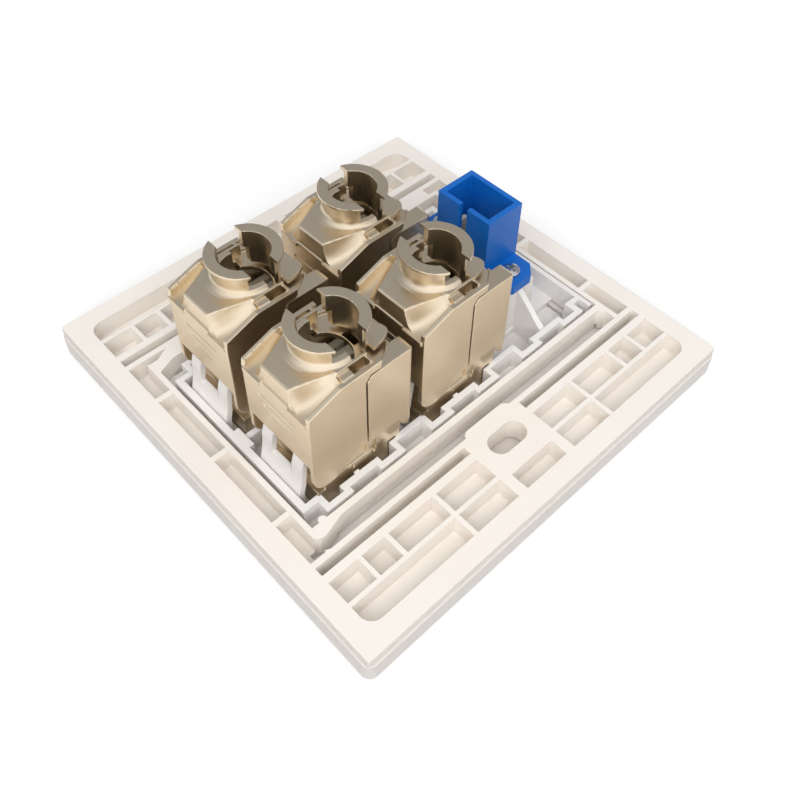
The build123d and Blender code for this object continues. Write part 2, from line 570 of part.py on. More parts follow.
# Fibre adapter housing with its flange
sc0 = SC_Y - SC_D / 2
sc1 = SC_Y + SC_D / 2
with BuildPart() as adapter:
    box(-SC_X / 2, SC_X / 2, sc0, sc1, -RIM + 0.2, SC_TOP)
    with BuildSketch(Plane.XY.offset(up(SC_FLANGE_TOP - SC_FLANGE_T))):
        with Locations((0, SC_Y)):
            Rectangle(SC_FLANGE_X, SC_D)
    extrude(amount=SC_FLANGE_T)
    chamfer(adapter.edges().filter_by(Axis.Z).filter_by_position(
        Axis.X, SC_FLANGE_X / 2 - 0.1, SC_FLANGE_X / 2 + 0.1), 2.0)
    chamfer(adapter.edges().filter_by(Axis.Z).filter_by_position(
        Axis.X, -SC_FLANGE_X / 2 - 0.1, -SC_FLANGE_X / 2 + 0.1), 2.0)
    box(-SC_X / 2 + 1.1, SC_X / 2 - 1.1, sc0 + 1.0, sc1 - 1.0, -RIM - 1, 2.5, Mode.SUBTRACT)
    box(-SC_X / 2 + 1.1, SC_X / 2 - 1.1, sc0 + 1.0, sc1 - 1.0, 5.5, 30, Mode.SUBTRACT)
    box(-3.2, 3.2, SC_Y - 2.4, SC_Y + 2.4, 0, 8, Mode.SUBTRACT)
    # Key slots of the two openings
    box(-0.95, 0.95, sc0 - 1, sc0 + 1.1, SC_TOP - 7.0, 30, Mode.SUBTRACT)
    box(-0.95, 0.95, sc0 - 1, sc0 + 1.1, -RIM - 1, -RIM + 4.0, Mode.SUBTRACT)
    with BuildSketch(Plane.XY):
        with Locations((-SC_HOLES / 2, SC_Y), (SC_HOLES / 2, SC_Y)):
            Circle(1.15)
    extrude(amount=40, mode=Mode.SUBTRACT)
save(adapter.part, "sc_housing")


def holder_half(name, w0, w1, foot0, foot1):
    # Sleeve holder with two latch hooks beside the tube.
    with BuildPart() as half_part:
        with BuildSketch(Plane.XY.offset(up(min(w0, foot0)))):
            with Locations((0, SC_Y)):
                Circle(2.1)
        extrude(amount=abs(max(w1, foot1) - min(w0, foot0)))
        box(-4.8, 4.8, SC_Y - 2.1, SC_Y + 2.1, foot0, foot1)
        sides(3.9, 4.8, SC_Y - 1.6, SC_Y + 1.6, w0, w1)
        with BuildSketch(Plane.XY):
            with Locations((0, SC_Y)):
                Circle(1.6)
        extrude(amount=50, mode=Mode.SUBTRACT)
    save(half_part.part, name)


holder_half("sc_rear_holder", 5.7, 12.5, 5.7, 7.0)
holder_half("sc_front_holder", -4.5, 2.3, 1.0, 2.3)

# Split ceramic sleeve
with BuildPart() as sleeve:
    with BuildSketch(Plane.XY.offset(up(-1.7))):
        with Locations((0, SC_Y)):
            Circle(1.55)
            Circle(1.25, mode=Mode.SUBTRACT)
        with Locations((0, SC_Y + 1.4)):
            Rectangle(0.35, 1.2, mode=Mode.SUBTRACT)
    extrude(amount=11.4)
save(sleeve.part, "sc_sleeve")

# Two screws of the adapter flange
with BuildPart() as screws:
    for side in (-1, 1):
        with BuildSketch(Plane.XY.offset(up(SC_FLANGE_TOP + 0.05))):
            with Locations((side * SC_HOLES / 2, SC_Y)):
                Circle(1.7)
        extrude(amount=1.1)
        with BuildSketch(Plane.XY.offset(up(SC_FLANGE_TOP - 7.5))):
            with Locations((side * SC_HOLES / 2, SC_Y)):
                Circle(0.9)
        extrude(amount=7.6)
        with BuildSketch(Plane.XY.offset(up(SC_FLANGE_TOP + 0.55))):
            with Locations((side * SC_HOLES / 2, SC_Y)):
                Rectangle(1.9, 0.45)
                Rectangle(0.45, 1.9)
        extrude(amount=1.0, mode=Mode.SUBTRACT)
save(screws.part, "sc_screws")
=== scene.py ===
import json
import math

import bpy
from mathutils import Matrix, Vector

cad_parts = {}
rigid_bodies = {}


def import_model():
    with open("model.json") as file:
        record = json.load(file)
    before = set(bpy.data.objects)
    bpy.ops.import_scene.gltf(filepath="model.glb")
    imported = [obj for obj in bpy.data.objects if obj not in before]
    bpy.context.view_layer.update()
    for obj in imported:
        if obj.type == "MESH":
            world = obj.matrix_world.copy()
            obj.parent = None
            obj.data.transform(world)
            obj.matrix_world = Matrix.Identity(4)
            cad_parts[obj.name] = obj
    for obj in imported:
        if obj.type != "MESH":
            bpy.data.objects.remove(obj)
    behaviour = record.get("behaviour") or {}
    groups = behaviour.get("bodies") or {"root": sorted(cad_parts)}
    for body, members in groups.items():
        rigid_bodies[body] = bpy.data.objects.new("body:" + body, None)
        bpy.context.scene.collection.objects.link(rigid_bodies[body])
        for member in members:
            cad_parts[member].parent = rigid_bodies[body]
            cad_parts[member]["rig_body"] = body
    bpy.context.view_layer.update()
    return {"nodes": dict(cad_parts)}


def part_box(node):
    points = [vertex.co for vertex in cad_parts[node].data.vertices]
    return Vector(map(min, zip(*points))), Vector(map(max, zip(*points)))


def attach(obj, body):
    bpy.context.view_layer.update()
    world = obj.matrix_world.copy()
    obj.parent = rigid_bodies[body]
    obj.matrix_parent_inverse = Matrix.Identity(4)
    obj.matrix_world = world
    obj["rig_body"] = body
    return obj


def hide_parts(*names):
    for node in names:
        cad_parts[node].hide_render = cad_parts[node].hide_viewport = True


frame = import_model()

bl_info = {
    "name": "Ethernet wall socket",
    "version": (1, 0, 0),
    "blender": (4, 5, 0),
    "location": "3D View > Sidebar > Wall socket",
    "description": "Dresses a wall plate with four shielded jacks and a fibre adapter",
    "category": "Object",
}

JACKS = (1, 2, 3, 4)
MM = 0.001                          # one millimetre in metres
RIM_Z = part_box("base_frame")[1].z   # height of the rim plane, in metres

# Lengths from here to the stage are in mm. On a jack, u runs across from its column,
# v back from its row and w up from the rim plane.

# Skin of the moulded and cast pieces
WELD = 0.002            # merges the loose triangles of a CAD mesh
SKIN_PASSES = 3         # smoothing of the skin
SKIN_KEEP = 0.35        # share of the skin's faces that is kept
SCREW_GRID = 0.6        # finer skin of the small screws, as a share of the adapter's
SKIN_ANGLE = 50         # degrees up to which a skin's edge is shaded smooth
BASE_ANGLE = 30         # the same on the base, whose ribs stay crisp
NEAR = 0.05             # two faces this close count as one

# Corners of the base's land
LAND_ROUND = 1.6        # radius on the solid
LAND_CRISP = 0.4        # radius on the real piece
LAND_SLACK = 0.001      # a point this near the start of a corner belongs to it

# Rear block of a jack
BLOCK_HALF = 8.1        # half its width
BLOCK_START = 3.65      # from here back it is drawn in
BLOCK_LOW = 6.4         # from here up it is drawn in
BLOCK_DRAW = 0.94       # share of its depth that stays
BLOCK_REAR = 13.0       # rear face of the solid
DRAWN_REAR = 12.4       # rear face once drawn in
BLOCK_TOP = 22.0
REAR_ROUND = 1.1        # radius of its rear edges
ROOF_LOW = 21.0         # points above this belong to its roof
ROOF_START = 8.0        # the roof falls from here back
ROOF_FALL = 0.035       # fall for each mm
OPEN_HALF = 4.95        # half the opening between its two rear pads
OPEN_START = 10.2
OPEN_LOW = 18.0

# Clamp, measured from its own place on the slide
COLLAR_V = 1.4          # axis of the cable collar
NECK_R = 5.15           # outer radius of the collar's neck
EAR_START = 5.35        # front of the two ears
EAR_INNER = 5.0         # top faces behind this belong to the ears
EAR_REAR = 8.65
EAR_TOP = 24.5
EAR_STRETCH = 1.3       # the plate is longer than the solid's ears by this
WAIST_HALF = 3.3        # beyond this the ears are narrowed
EAR_NARROW = 0.56       # share of that width that stays
PLATE_LOW = 22.4
PLATE_TOP = 23.1
PLATE_HALF = 2.6        # half width of the plate between the ears
PLATE_START = 6.0
PLATE_REAR = 9.3

# Panel of a jack's cap, with a hollow on each side of its ridge
PANEL_FRONT = -8.3
PANEL_RUN = 6.9         # length of the panel
RIDGE_HALF = 3.15       # half width of the ridge at the front
RIDGE_SPREAD = 2.55     # how much it gains towards the rear
RIDGE_TOP = 24.0        # height of the ridge at the front
RIDGE_RISE = 0.9
WING_SIDE = 7.2         # inner face of the side plates
WING_LOW = 20.3         # points below this are left alone
UNDERSIDE = -0.3        # so are faces that look down by more than this
HOLLOW_LOW = 20.55      # deepest line of the hollow at the front
HOLLOW_RISE = 2.9       # its rise, over this run and with this bend
HOLLOW_RUN = 6.0
HOLLOW_BEND = 1.6
STEEP_FRONT = 6.0       # how sharply the hollow leaves the ridge at the front
STEEP_EASE = 4.3        # how much gentler it is at the rear

# Screws of the adapter
HEAD_DEEP = 0.9         # height of a head
HEAD_FALL = 0.45        # fall of its dome at the rim

# Stage: lengths in metres, colours as sRGB hex
WHITE = "FFFFFF"
FLOOR_SIZE = 6.0
FLOOR_DROP = 0.00002    # keeps the floor clear of the plate's front face
GLOW_FROM = 0.12        # the floor's glow rises from here to there, between two strengths
GLOW_TO = 0.8
GLOW_NEAR = 0.14
GLOW_FAR = 0.75
FLOOR_SHADE = "75736F"  # what the floor throws back at the object's sides
KEY_SIZE = 1.4
KEY_PLACE = (0.55, -0.56, 0.82)
FILL_SIZE = 0.9
FILL_PLACE = (0.8, 0.5, 0.5)
BRIGHT_SIDE = (0.58, -0.60, 0.55)   # where the room that the gloss shows is brightest
BRIGHT_TURN = 0.9                   # cosine from which it is at full strength
ROOM_DIM = 0.42                     # strength on the far side
ROOM_BRIGHT = 1.3
ROOM_COOL = "DEE3EE"                # tint on the far side
ROOM_PALE = "F7F7F8"
SENSOR = 36                         # width of the camera's sensor, in mm


class PlateLook(bpy.types.PropertyGroup):
    # The cover's white is darker than the base's: partly its own tone, partly painted shade for
    # the dimmer light on the plate's sides
    cover_colour_and_side_shade: bpy.props.StringProperty(
        name="Cover colour", description="Warm white of the outer cover, sRGB hex",
        default="E7E1DC")
    base_colour: bpy.props.StringProperty(
        name="Base colour", description="Warm white of the ribbed base, sRGB hex",
        default="F5F0EA")
    insert_colour: bpy.props.StringProperty(
        name="Insert colour", description="White of the insert, sRGB hex", default="F3EFEB")


class JackLook(bpy.types.PropertyGroup):
    metal_colour: bpy.props.StringProperty(
        name="Metal colour", description="Satin nickel of the shells, sRGB hex", default="EDDFC8")
    warm_colour: bpy.props.StringProperty(
        name="Warm tint", description="Second tint of the same plating, sRGB hex",
        default="E4D3B6")
    roughness: bpy.props.FloatProperty(
        name="Roughness", description="Roughness of the plated castings",
        default=0.34, min=0.0, max=1.0, subtype="FACTOR")
    edge_round: bpy.props.FloatProperty(
        name="Edge rounding", description="Grid of the cast skin, near the radius of its edges",
        default=0.00014, min=0.0, unit="LENGTH")


class AdapterLook(bpy.types.PropertyGroup):
    blue_colour: bpy.props.StringProperty(
        name="Housing colour", description="Blue of the adapter, sRGB hex", default="1069C4")
    edge_round: bpy.props.FloatProperty(
        name="Edge rounding", description="Grid of the moulded skin, near the radius of its edges",
        default=0.00014, min=0.0, unit="LENGTH")


class StageLook(bpy.types.PropertyGroup):
    floor_colour: bpy.props.StringProperty(
        name="Floor colour", description="Plain pale floor, sRGB hex", default="F4F4F4")
    azimuth: bpy.props.FloatProperty(
        name="Azimuth", description="Camera's direction round the plate",
        default=math.radians(46.17), subtype="ANGLE")
    elevation: bpy.props.FloatProperty(
        name="Elevation", description="Camera's height above the horizon",
        default=math.radians(47.10), subtype="ANGLE")
    roll: bpy.props.FloatProperty(
        name="Roll", description="Camera's turn about its own line of sight",
        default=math.radians(0.881), subtype="ANGLE")
    distance: bpy.props.FloatProperty(
        name="Distance", description="From the camera to its target", default=0.17971,
        unit="LENGTH")
    target: bpy.props.FloatVectorProperty(
        name="Target", description="Point of the rim plane on the camera's axis",
        default=(-0.005194, 0.008308, RIM_Z), size=3, subtype="TRANSLATION")
    lens: bpy.props.FloatProperty(
        name="Lens", description="Focal length on a 36 mm wide sensor, in mm", default=42.18)
    shift: bpy.props.FloatProperty(
        name="Shift", description="Vertical shift of the frame", default=-0.125)
    key_power: bpy.props.FloatProperty(
        name="Key light", description="Power of the key light", default=13.0, unit="POWER")
    fill_power: bpy.props.FloatProperty(
        name="Fill light", description="Power of the fill light", default=1.0, unit="POWER")
    sky_top: bpy.props.FloatProperty(
        name="Sky overhead", description="Strength of the soft light from above",
        default=0.62, min=0.0)
    sky_side: bpy.props.FloatProperty(
        name="Sky at the side", description="Strength of the soft light from the sides",
        default=0.28, min=0.0)


def linear(code):
    """Linear colour of an sRGB hex value."""
    parts = [int(code[i:i + 2], 16) / 255 for i in (0, 2, 4)]
    return tuple(c / 12.92 if c <= 0.04045 else ((c + 0.055) / 1.055) ** 2.4
                 for c in parts) + (1.0,)


def add_node(tree, kind, inputs=None, **settings):
    """Adds one node with its settings. An input given as a node's output is linked to it."""
    node = tree.nodes.new(kind)
    for key, value in settings.items():
        setattr(node, key, value)
    for key, value in (inputs or {}).items():
        if isinstance(value, bpy.types.NodeSocket):
            tree.links.new(value, node.inputs[key])
        else:
            node.inputs[key].default_value = value
    return node


def new_finish(name, colour, second, patch, grain, relief, spread=0.06, edge=0.0, **surface):
    """Makes a procedural finish, with its lengths in mm: two tints in soft patches of that
    size, a roughness that varies with them by the spread, a fine relief of that grain, and
    softened edges."""
    made = bpy.data.materials.new(name)
    made.use_nodes = True
    tree = made.node_tree
    tree.nodes.clear()
    place = add_node(tree, "ShaderNodeTexCoord").outputs["Object"]
    patches = add_node(tree, "ShaderNodeTexNoise", {
        "Vector": place, "Scale": 1 / (patch * MM), "Detail": 3.0, "Roughness": 0.55})
    tint = add_node(tree, "ShaderNodeMix", {
        "Factor": patches.outputs["Fac"], "A": linear(colour), "B": linear(second)},
        data_type="RGBA")
    fine = add_node(tree, "ShaderNodeTexNoise", {
        "Vector": place, "Scale": 1 / (grain * MM), "Detail": 4.0, "Roughness": 0.6})
    rough = surface.pop("Roughness")
    sheen = add_node(tree, "ShaderNodeMapRange", {
        "Value": patches.outputs["Fac"], "To Min": rough - spread, "To Max": rough + spread})
    bump = add_node(tree, "ShaderNodeBump", {
        "Height": fine.outputs["Fac"], "Distance": relief * MM, "Strength": 0.6})
    if edge:
        corner = add_node(tree, "ShaderNodeBevel", {"Radius": edge * MM}, samples=6)
        tree.links.new(corner.outputs["Normal"], bump.inputs["Normal"])
    shader = add_node(tree, "ShaderNodeBsdfPrincipled", {
        "Base Color": tint.outputs[2], "Roughness": sheen.outputs["Result"],
        "Normal": bump.outputs["Normal"], **surface})
    add_node(tree, "ShaderNodeOutputMaterial", {"Surface": shader.outputs[0]})


def finish_of(name):
    """The finish of that name, or an error when the finishes haven't been made."""
    found = bpy.data.materials.get(name)
    if found is None:
        raise RuntimeError("make the finishes first")
    return found


def wear(obj, name):
    """Gives a piece its finish."""
    obj.data.materials.clear()
    obj.data.materials.append(finish_of(name))


def select_only(obj):
    """Makes one object the selected and the active one."""
    bpy.ops.object.select_all(action="DESELECT")
    obj.select_set(True)
    bpy.context.view_layer.objects.active = obj


def cleaned_copy(node, name):
    """A copy of a CAD node's mesh, its loose triangles merged and its own normals cleared."""
    piece = bpy.data.objects.new(name, frame["nodes"][node].data.copy())
    bpy.context.collection.objects.link(piece)
    select_only(piece)
    bpy.ops.mesh.customdata_custom_splitnormals_clear()
    bpy.ops.object.mode_set(mode="EDIT")
    bpy.ops.mesh.select_all(action="SELECT")
    bpy.ops.mesh.remove_doubles(threshold=WELD * MM)
    bpy.ops.object.mode_set(mode="OBJECT")
    return piece


def block(low, high):
    """A block between two corners, for a cut or a join."""
    bpy.ops.object.select_all(action="DESELECT")
    bpy.ops.mesh.primitive_cube_add(size=1, location=(low + high) / 2)
    made = bpy.context.object
    made.scale = high - low
    bpy.ops.object.transform_apply(location=True, rotation=False, scale=True)
    return made


def join_block(piece, low, high):
    """Adds a block to a piece, so that the cast skin runs over both."""
    block(low, high)
    piece.select_set(True)
    bpy.context.view_layer.objects.active = piece
    bpy.ops.object.join()


def cut_block(piece, low, high):
    """Cuts a block out of a piece."""
    tool = block(low, high)
    select_only(piece)
    cut = piece.modifiers.new("Cut", "BOOLEAN")
    cut.operation = "DIFFERENCE"
    cut.solver = "EXACT"
    cut.object = tool
    bpy.ops.object.modifier_apply(modifier="Cut")
    bpy.data.objects.remove(tool)


def move_points(piece, origin, rule):
    """Moves each point by a rule on its place in mm from an origin, and its normal."""
    places = [(vertex, (vertex.co - origin) / MM, vertex.normal.copy())
              for vertex in piece.data.vertices]
    for vertex, place, normal in places:
        vertex.co = origin + Vector(rule(place.x, place.y, place.z, normal)) * MM
    piece.data.update()


def round_edges(piece, grid, reshape=None):
    """Rounds every edge softly, as on a casting: a fine even skin, smoothed, then thinned."""
    select_only(piece)
    piece.data.remesh_voxel_size = grid
    piece.data.remesh_voxel_adaptivity = 0.0
    bpy.ops.object.voxel_remesh()
    if reshape:
        reshape(piece)
    soften = piece.modifiers.new("Soften", "SMOOTH")
    soften.factor = 0.5
    soften.iterations = SKIN_PASSES
    thin = piece.modifiers.new("Thin", "DECIMATE")
    thin.ratio = SKIN_KEEP
    for modifier in ("Soften", "Thin"):
        bpy.ops.object.modifier_apply(modifier=modifier)
    bpy.ops.object.shade_smooth_by_angle(angle=math.radians(SKIN_ANGLE))


def body_of(node):
    """The body that a CAD node rides on."""
    return frame["nodes"][node]["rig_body"]


def dress(node, grid, finish, shape=None, reshape=None):
    """Replaces a CAD node by a copy with rounded edges, shaped before or after its skin."""
    piece = cleaned_copy(node, node + "_moulded")
    if shape:
        shape(piece)
    round_edges(piece, grid, reshape)
    wear(piece, finish)
    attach(piece, body_of(node))
    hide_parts(node)
    return piece


def dress_repeats(first, nodes, grid, finish, shape=None, reshape=None):
    """Dresses the first node and puts a copy of it at each of the others."""
    model = dress(first, grid, finish, shape, reshape)
    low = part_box(first)[0]
    for node in nodes:
        copy = bpy.data.objects.new(node + "_moulded", model.data.copy())
        bpy.context.collection.objects.link(copy)
        copy.data.transform(Matrix.Translation(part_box(node)[0] - low))
        wear(copy, finish)
        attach(copy, body_of(node))
        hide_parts(node)


def crisp_corner(x, y, z, normal):
    """Brings the corners of the base's land nearer to sharp."""
    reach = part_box("base_frame")[1].x / MM
    start = reach - LAND_ROUND - LAND_SLACK
    if abs(x) < start or abs(y) < start:
        return x, y, z
    turn = math.atan2(abs(y) - start, abs(x) - start)
    centre = reach - LAND_CRISP
    return (math.copysign(centre + LAND_CRISP * math.cos(turn), x),
            math.copysign(centre + LAND_CRISP * math.sin(turn), y), z)


def jack_origin():
    """Middle of the first jack's row and column, in the rim plane."""
    low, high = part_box("jack_1_body")
    return Vector(((low.x + high.x) / 2, high.y - BLOCK_REAR * MM, RIM_Z))


def clamp_origin():
    """The same point of the first clamp, which stands a little open."""
    low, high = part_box("jack_1_clamp")
    return Vector(((low.x + high.x) / 2, high.y - EAR_REAR * MM, RIM_Z))


def thin_plate(u, v, w, normal):
    """The clamp's ears become a flat plate, narrower and longer than the solid's."""
    if v > EAR_INNER and abs(w - EAR_TOP) < NEAR:
        w = PLATE_TOP
    if v > EAR_START and w < EAR_TOP and math.hypot(u, v - COLLAR_V) > NECK_R + NEAR:
        v = EAR_START + (v - EAR_START) * EAR_STRETCH
        if abs(u) > WAIST_HALF:
            u = math.copysign(WAIST_HALF + (abs(u) - WAIST_HALF) * EAR_NARROW, u)
    return u, v, w


def clamp_plate(piece):
    """Flattens the ears and fills the plate between them."""
    origin = clamp_origin()
    move_points(piece, origin, thin_plate)
    join_block(piece, origin + Vector((-PLATE_HALF, PLATE_START, PLATE_LOW)) * MM,
               origin + Vector((PLATE_HALF, PLATE_REAR, PLATE_TOP)) * MM)


def open_rear(piece):
    """Opens the rear of the block between its two corner pads, past its rear and top face."""
    origin = jack_origin()
    cut_block(piece, origin + Vector((-OPEN_HALF, OPEN_START, OPEN_LOW)) * MM,
              origin + Vector((OPEN_HALF, BLOCK_REAR + 1, BLOCK_TOP + 2)) * MM)


def onto_round(a, b, centre_a, centre_b):
    """Brings a point that stands past a rounded edge back onto it."""
    far = math.hypot(a - centre_a, b - centre_b)
    if far <= REAR_ROUND:
        return a, b
    return (centre_a + (a - centre_a) * REAR_ROUND / far,
            centre_b + (b - centre_b) * REAR_ROUND / far)


def round_rear(u, v, w, normal):
    """Draws the block's rear in a little, and rounds its top edge and two upright edges."""
    if v > BLOCK_START and w > BLOCK_LOW:
        v = BLOCK_START + (v - BLOCK_START) * BLOCK_DRAW
        w -= ROOF_FALL * max(0.0, v - ROOF_START) * (w > ROOF_LOW)
    top = BLOCK_TOP - REAR_ROUND
    rear = DRAWN_REAR - REAR_ROUND
    side = BLOCK_HALF - REAR_ROUND
    if v > rear and w > top:
        v, w = onto_round(v, w, rear, top)
    if abs(u) > side and v > rear:
        across, v = onto_round(abs(u), v, side, rear)
        u = math.copysign(across, u)
    return u, v, w


def hollow_wing(u, v, w, normal):
    """A broad hollow from the ridge of the cap's panel down to its side plates."""
    share = (v - PANEL_FRONT) / PANEL_RUN
    ridge = RIDGE_HALF + RIDGE_SPREAD * share
    side = abs(u)
    if not 0 < share < 1 or not ridge < side < WING_SIDE:
        return u, v, w
    if w < WING_LOW or normal.z < UNDERSIDE:
        return u, v, w
    across = (side - ridge) / (WING_SIDE - ridge)
    low = HOLLOW_LOW + HOLLOW_RISE * min(1.0, (v - PANEL_FRONT) / HOLLOW_RUN) ** HOLLOW_BEND
    top = RIDGE_TOP + RIDGE_RISE * share
    w = low + (top - low) * (1 - across) ** (STEEP_FRONT - STEEP_EASE * share)
    return u, v, w


def dome_heads(piece):
    """Domes the two screw heads of the adapter."""
    low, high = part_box("sc_screws")
    middle = (low + high) / 2
    reach = (high.y - low.y) / 2 / MM
    pitch = (high.x - low.x) / 2 / MM - reach

    def dome(x, y, z, normal):
        if z > -HEAD_DEEP:
            z -= HEAD_FALL * (math.hypot(abs(x) - pitch, y) / reach) ** 2
        return x, y, z
    move_points(piece, Vector((middle.x, middle.y, high.z)), dome)


def shape_rear(piece):
    """Rounds the rear of a jack's block."""
    move_points(piece, jack_origin(), round_rear)


def shape_wings(piece):
    """Hollows the two sides of a cap's panel."""
    move_points(piece, jack_origin(), hollow_wing)


class WALLSOCKET_OT_finishes(bpy.types.Operator):
    """Makes every finish and gives the hidden pieces theirs"""
    bl_idname = "wall_socket.finishes"
    bl_label = "Finishes"

    def execute(self, context):
        plate = context.scene.plate_look
        jack = context.scene.jack_look
        adapter = context.scene.adapter_look
        # ABS moulded in a spark-eroded tool: a warm white with soft highlights, set darker than
        # the base's: partly its own tone, partly painted shade for the plate's sides.
        # Its grain of under 0.1 mm is drawn at 0.18 mm, or it wouldn't show
        new_finish("abs_cover_with_side_shade", plate.cover_colour_and_side_shade, "E1DAD4", 25, 0.18, 0.006,
                   edge=0.12, Roughness=0.36, IOR=1.54)
        # The same ABS on the ribbed base: more matt than the cover, and lighter than the cover's
        # white with its painted side shade
        new_finish("abs_moulded_base", plate.base_colour, "EEE6DD", 18, 0.18, 0.006,
                   edge=0.12, Roughness=0.40, IOR=1.54)
        # Polycarbonate of the insert: a cooler white than the base, with sharper highlights
        new_finish("polycarbonate_moulded", plate.insert_colour, "E3E0DD", 14, 0.2, 0.005,
                   edge=0.2, Roughness=0.33, IOR=1.58)
        # Zinc die casting under satin nickel: a warm champagne metal with a soft, broken
        # shine. The skin's fine pits are drawn at 0.35 mm, as coarse as they need to show
        new_finish("zinc_die_cast_satin_nickel", jack.metal_colour, jack.warm_colour, 7, 0.35,
                   0.004, spread=0.05, Roughness=jack.roughness, Metallic=1.0)
        # Turned steel of the hinge pins: a neutral grey with a narrow bright line
        new_finish("steel_turned", "B9B7B2", "A5A29C", 2, 0.08, 0.002, Roughness=0.28,
                   Metallic=1.0)
        # Black PBT of the contact carriers and wire guides: near black, with a dull sheen
        new_finish("pbt_moulded_black", "1B1B1D", "232325", 5, 0.15, 0.005, Roughness=0.42,
                   IOR=1.57)
        # Gold over nickel on the sprung contacts: deep yellow and bright
        new_finish("gold_plated_bronze", "E2B657", "D4A548", 1.5, 0.1, 0.001, Roughness=0.2,
                   Metallic=1.0)
        # Solder mask on the circuit boards: dark green under a glossy lacquer
        new_finish("solder_mask_green", "14503A", "0F4431", 4, 0.3, 0.01, Roughness=0.3,
                   IOR=1.5)
        # Polycarbonate of the wire blocks and sleeve holders: ivory with a soft sheen
        new_finish("polycarbonate_ivory", "DCD3BE", "D3C9B2", 5, 0.2, 0.004, Roughness=0.4,
                   IOR=1.58)
        # Tinned phosphor bronze of the cutting blades: a pale, bright grey
        new_finish("bronze_tinned", "CFCBC3", "BDB8AE", 1.5, 0.12, 0.002, Roughness=0.25,
                   Metallic=1.0)
        # Blue PBT of the fibre adapter: a full blue, which a weak gloss keeps deep
        new_finish("pbt_moulded_blue", adapter.blue_colour, "0E61B8", 9, 0.15, 0.004,
                   **{"Roughness": 0.36, "IOR": 1.57, "Specular IOR Level": 0.3})
        # Ground zirconia of the sleeve: a dense white with a strong, tight shine
        new_finish("zirconia_ground", "EFEDE6", "E6E2D8", 2, 0.05, 0.001, Roughness=0.18,
                   IOR=2.1)
        # Chromed steel of the two screws: almost a mirror, with dark and bright bands
        new_finish("steel_chromed", "D9DADB", "C9CACC", 1.5, 0.1, 0.001, Roughness=0.12,
                   Metallic=1.0)
        slots = {
            "hinge_pins": ("steel_turned", "steel"),
            "contact_carrier": ("pbt_moulded_black", "dark_plastic"),
            "contacts": ("gold_plated_bronze", "gold_contact"),
            "circuit_board": ("solder_mask_green", "board"),
            "wire_block": ("polycarbonate_ivory", "ivory_plastic"),
            "wire_blades": ("bronze_tinned", "tinned_blade"),
            "wire_guide": ("pbt_moulded_black", "dark_plastic"),
        }
        for n in JACKS:
            for part, (finish, slot) in slots.items():
                wear(frame["nodes"][f"jack_{n}_{part}"], finish)
        for node, finish, slot in (("sc_rear_holder", "polycarbonate_ivory", "ivory_plastic"),
                                   ("sc_front_holder", "polycarbonate_ivory", "ivory_plastic"),
                                   ("sc_sleeve", "zirconia_ground", "ceramic")):
            wear(frame["nodes"][node], finish)
        return {"FINISHED"}


class WALLSOCKET_OT_plate(bpy.types.Operator):
    """Colours the cover, the base frame and the insert, and sharpens the base's corners"""
    bl_idname = "wall_socket.plate"
    bl_label = "Plate"

    def execute(self, context):
        nodes = frame["nodes"]
        # The cover's finish carries painted shade for the plate's sides
        wear(nodes["cover_frame"], "abs_cover_with_side_shade")
        base = cleaned_copy("base_frame", "base_frame_moulded")
        move_points(base, Vector(), crisp_corner)
        select_only(base)
        bpy.ops.object.shade_smooth_by_angle(angle=math.radians(BASE_ANGLE))
        wear(base, "abs_moulded_base")
        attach(base, body_of("base_frame"))
        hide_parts("base_frame")
        wear(nodes["port_insert"], "polycarbonate_moulded")
        return {"FINISHED"}


class WALLSOCKET_OT_jacks(bpy.types.Operator):
    """Shapes, rounds and plates the cast pieces of the four jacks"""
    bl_idname = "wall_socket.jacks"
    bl_label = "Jacks"

    def execute(self, context):
        edge = context.scene.jack_look.edge_round
        forms = {"body": (open_rear, shape_rear), "cap": (None, shape_wings),
                 "clamp": (clamp_plate, None)}
        for part, (shape, reshape) in forms.items():
            nodes = [f"jack_{n}_{part}" for n in JACKS]
            dress_repeats(nodes[0], nodes[1:], edge, "zinc_die_cast_satin_nickel",
                          shape, reshape)
        return {"FINISHED"}


class WALLSOCKET_OT_adapter(bpy.types.Operator):
    """Rounds and colours the fibre adapter and its screws"""
    bl_idname = "wall_socket.adapter"
    bl_label = "Fibre adapter"

    def execute(self, context):
        edge = context.scene.adapter_look.edge_round
        dress("sc_housing", edge, "pbt_moulded_blue")
        dress("sc_screws", edge * SCREW_GRID, "steel_chromed",
              reshape=dome_heads)
        return {"FINISHED"}


